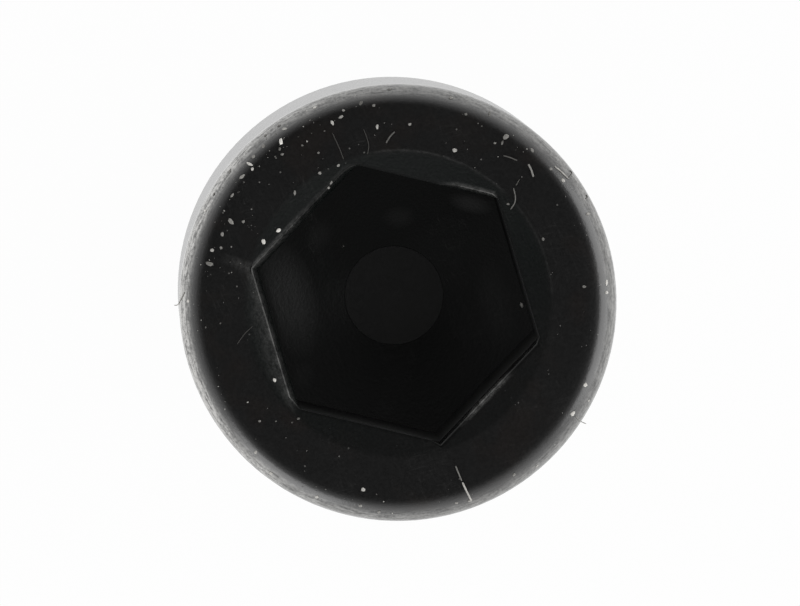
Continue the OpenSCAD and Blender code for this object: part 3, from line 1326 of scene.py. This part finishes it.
def floor_material(studio):
    """A white floor that shows as plain white, keeps the shadow, and is clear from below."""
    material, tree = new_material("studio_floor")
    path = add_node(tree, "ShaderNodeLightPath").outputs
    seen = calc(
        tree, "MAXIMUM", path["Is Camera Ray"],
        calc(tree, "MAXIMUM", path["Is Glossy Ray"], path["Is Transmission Ray"]),
    )
    paint = add_node(tree, "ShaderNodeBsdfDiffuse", {"Color": (*studio.floor_color, 1)})
    glow = add_node(tree, "ShaderNodeEmission", {"Color": (1, 1, 1, 1), "Strength": 1.0})
    shown = add_node(tree, "ShaderNodeMixShader", {
        0: calc(tree, "MULTIPLY", seen, studio.floor_glow), 1: paint.outputs[0], 2: glow.outputs[0],
    })
    below = calc(
        tree, "MULTIPLY", path["Is Camera Ray"],
        add_node(tree, "ShaderNodeNewGeometry").outputs["Backfacing"],
    )
    clear = add_node(tree, "ShaderNodeBsdfTransparent")
    both = add_node(tree, "ShaderNodeMixShader", {0: below, 1: shown.outputs[0], 2: clear.outputs[0]})
    add_node(tree, "ShaderNodeOutputMaterial", {"Surface": both.outputs[0]})
    return material


# Half the width of the floor, in millimetres.
FLOOR_HALF = 1500


def build_floor(studio):
    """A wide floor under the screw."""
    bm = bmesh.new()
    bmesh.ops.create_grid(bm, x_segments=1, y_segments=1, size=FLOOR_HALF)
    bmesh.ops.translate(bm, vec=(0, 0, -in_mm(studio.floor_gap)), verts=bm.verts)
    floor = build_mesh(bm, "studio_floor")
    floor.data.materials.append(floor_material(studio))


def build_dome(studio):
    """Pale all round and dark overhead, as in a light tent with an open top."""
    world = bpy.data.worlds.new("studio_dome")
    world.use_nodes = True
    tree = world.node_tree
    tree.nodes.clear()
    right, up = view_axes(studio)
    middle = right * math.cos(studio.dome_heading) + up * math.sin(studio.dome_heading)
    middle = middle * math.sin(studio.dome_tilt) + Vector((0, 0, math.cos(studio.dome_tilt)))
    facing = add_node(tree, "ShaderNodeVectorMath", {
        0: add_node(tree, "ShaderNodeTexCoord").outputs["Generated"], 1: middle,
    }, operation="DOT_PRODUCT")
    ramp = add_node(tree, "ShaderNodeMapRange", {
        "Value": calc(tree, "ARCCOSINE", facing.outputs["Value"]),
        "From Min": studio.dome_dark, "From Max": studio.dome_pale,
        "To Min": studio.dome_top, "To Max": studio.dome_side,
    }, interpolation_type="SMOOTHSTEP")
    sky = add_node(tree, "ShaderNodeBackground", {"Strength": ramp.outputs[0]})
    sky.inputs["Color"].default_value = (1, 1, 1, 1)
    add_node(tree, "ShaderNodeOutputWorld", {"Surface": sky.outputs[0]})
    bpy.context.scene.world = world


# The soft lamps: the heading of each in degrees from the camera's right, the lowest and the highest
# degrees over the horizon that it covers as the screw sees it, its distance and its width in metres,
# and its radiance.
SOFTBOXES = {
    "softbox_right": (0, 8, 51, 0.4, 0.42, 1.2),
    "softbox_left": (240, 8, 44, 0.4, 0.22, 1.2),
}


def add_softbox(name, studio, heading, low, high, distance, width, radiance):
    """A soft lamp that faces the head of the screw."""
    right, up = view_axes(studio)
    turn = math.radians(heading)
    out = right * math.cos(turn) + up * math.sin(turn)
    middle = math.radians((low + high) / 2)
    size_y = 2 * distance * math.tan(math.radians((high - low) / 2))
    lamp = bpy.data.lights.new(name, "AREA")
    lamp.shape = "RECTANGLE"
    lamp.size = width
    lamp.size_y = size_y
    lamp.energy = radiance * math.pi * width * size_y
    holder = bpy.data.objects.new(name, lamp)
    bpy.context.scene.collection.objects.link(holder)
    spot = out * math.cos(middle) * distance + Vector((0, 0, math.sin(middle) * distance))
    head = Vector((0, 0, height_of("socket")))
    holder.location = head + spot
    holder.rotation_euler = (-spot).to_track_quat("-Z", "Y").to_euler()
    holder.visible_camera = False


# The nearest and the furthest that the camera sees, in metres.
NEAR_CLIP = 0.001
FAR_CLIP = 10


def build_camera(studio):
    """A camera almost straight over the head."""
    right, up = view_axes(studio)
    head = Vector((0, 0, height_of("socket")))
    aim = head + right * studio.aim_right + up * studio.aim_up
    eye = head - right * studio.aside + up * studio.ahead + Vector((0, 0, studio.view_height))
    data = bpy.data.cameras.new("camera")
    back = (eye - aim).normalized()
    side = (right - back * right.dot(back)).normalized()
    turn = Matrix((side, back.cross(side), back)).transposed()
    camera = bpy.data.objects.new("camera", data)
    data.lens = data.sensor_width * (eye - aim).length / studio.view_width
    data.clip_start = NEAR_CLIP
    data.clip_end = FAR_CLIP
    camera.location = eye
    camera.rotation_euler = turn.to_euler()
    bpy.context.scene.collection.objects.link(camera)
    bpy.context.scene.camera = camera


class CAPSCREW_OT_studio(bpy.types.Operator):
    """Builds the floor, the dome, the soft lamps and the camera"""

    bl_idname = "capscrew.studio"
    bl_label = "Studio"

    def execute(self, context):
        studio = context.scene.studio
        build_floor(studio)
        build_dome(studio)
        for name, lamp in SOFTBOXES.items():
            add_softbox(name, studio, *lamp)
        build_camera(studio)
        context.scene.view_settings.view_transform = "Standard"
        return {"FINISHED"}


class CAPSCREW_PT_panel(bpy.types.Panel):
    """Lists what builds the screw, its dust and its studio"""

    bl_idname = "CAPSCREW_PT_panel"
    bl_label = "Cap Screw"
    bl_space_type = "VIEW_3D"
    bl_region_type = "UI"
    bl_category = "Cap Screw"

    def draw(self, context):
        for operator in OPERATORS:
            self.layout.operator(operator.bl_idname)


SETTINGS = {
    "screw": ScrewSettings, "wear": WearSettings, "finish": FinishSettings,
    "dust": DustSettings, "studio": StudioSettings,
}
OPERATORS = (CAPSCREW_OT_screw, CAPSCREW_OT_dust, CAPSCREW_OT_lint, CAPSCREW_OT_studio)


def register():
    for group in SETTINGS.values():
        bpy.utils.register_class(group)
    for name, group in SETTINGS.items():
        setattr(bpy.types.Scene, name, PointerProperty(type=group))
    for operator in OPERATORS:
        bpy.utils.register_class(operator)
    bpy.utils.register_class(CAPSCREW_PT_panel)


def unregister():
    bpy.utils.unregister_class(CAPSCREW_PT_panel)
    for operator in reversed(OPERATORS):
        bpy.utils.unregister_class(operator)
    for name in SETTINGS:
        delattr(bpy.types.Scene, name)
    for group in SETTINGS.values():
        bpy.utils.unregister_class(group)


def main():
    """Builds everything."""
    register()
    bpy.ops.capscrew.screw()
    bpy.ops.capscrew.dust()
    bpy.ops.capscrew.lint()
    bpy.ops.capscrew.studio()


if __name__ == "__main__":
    main()
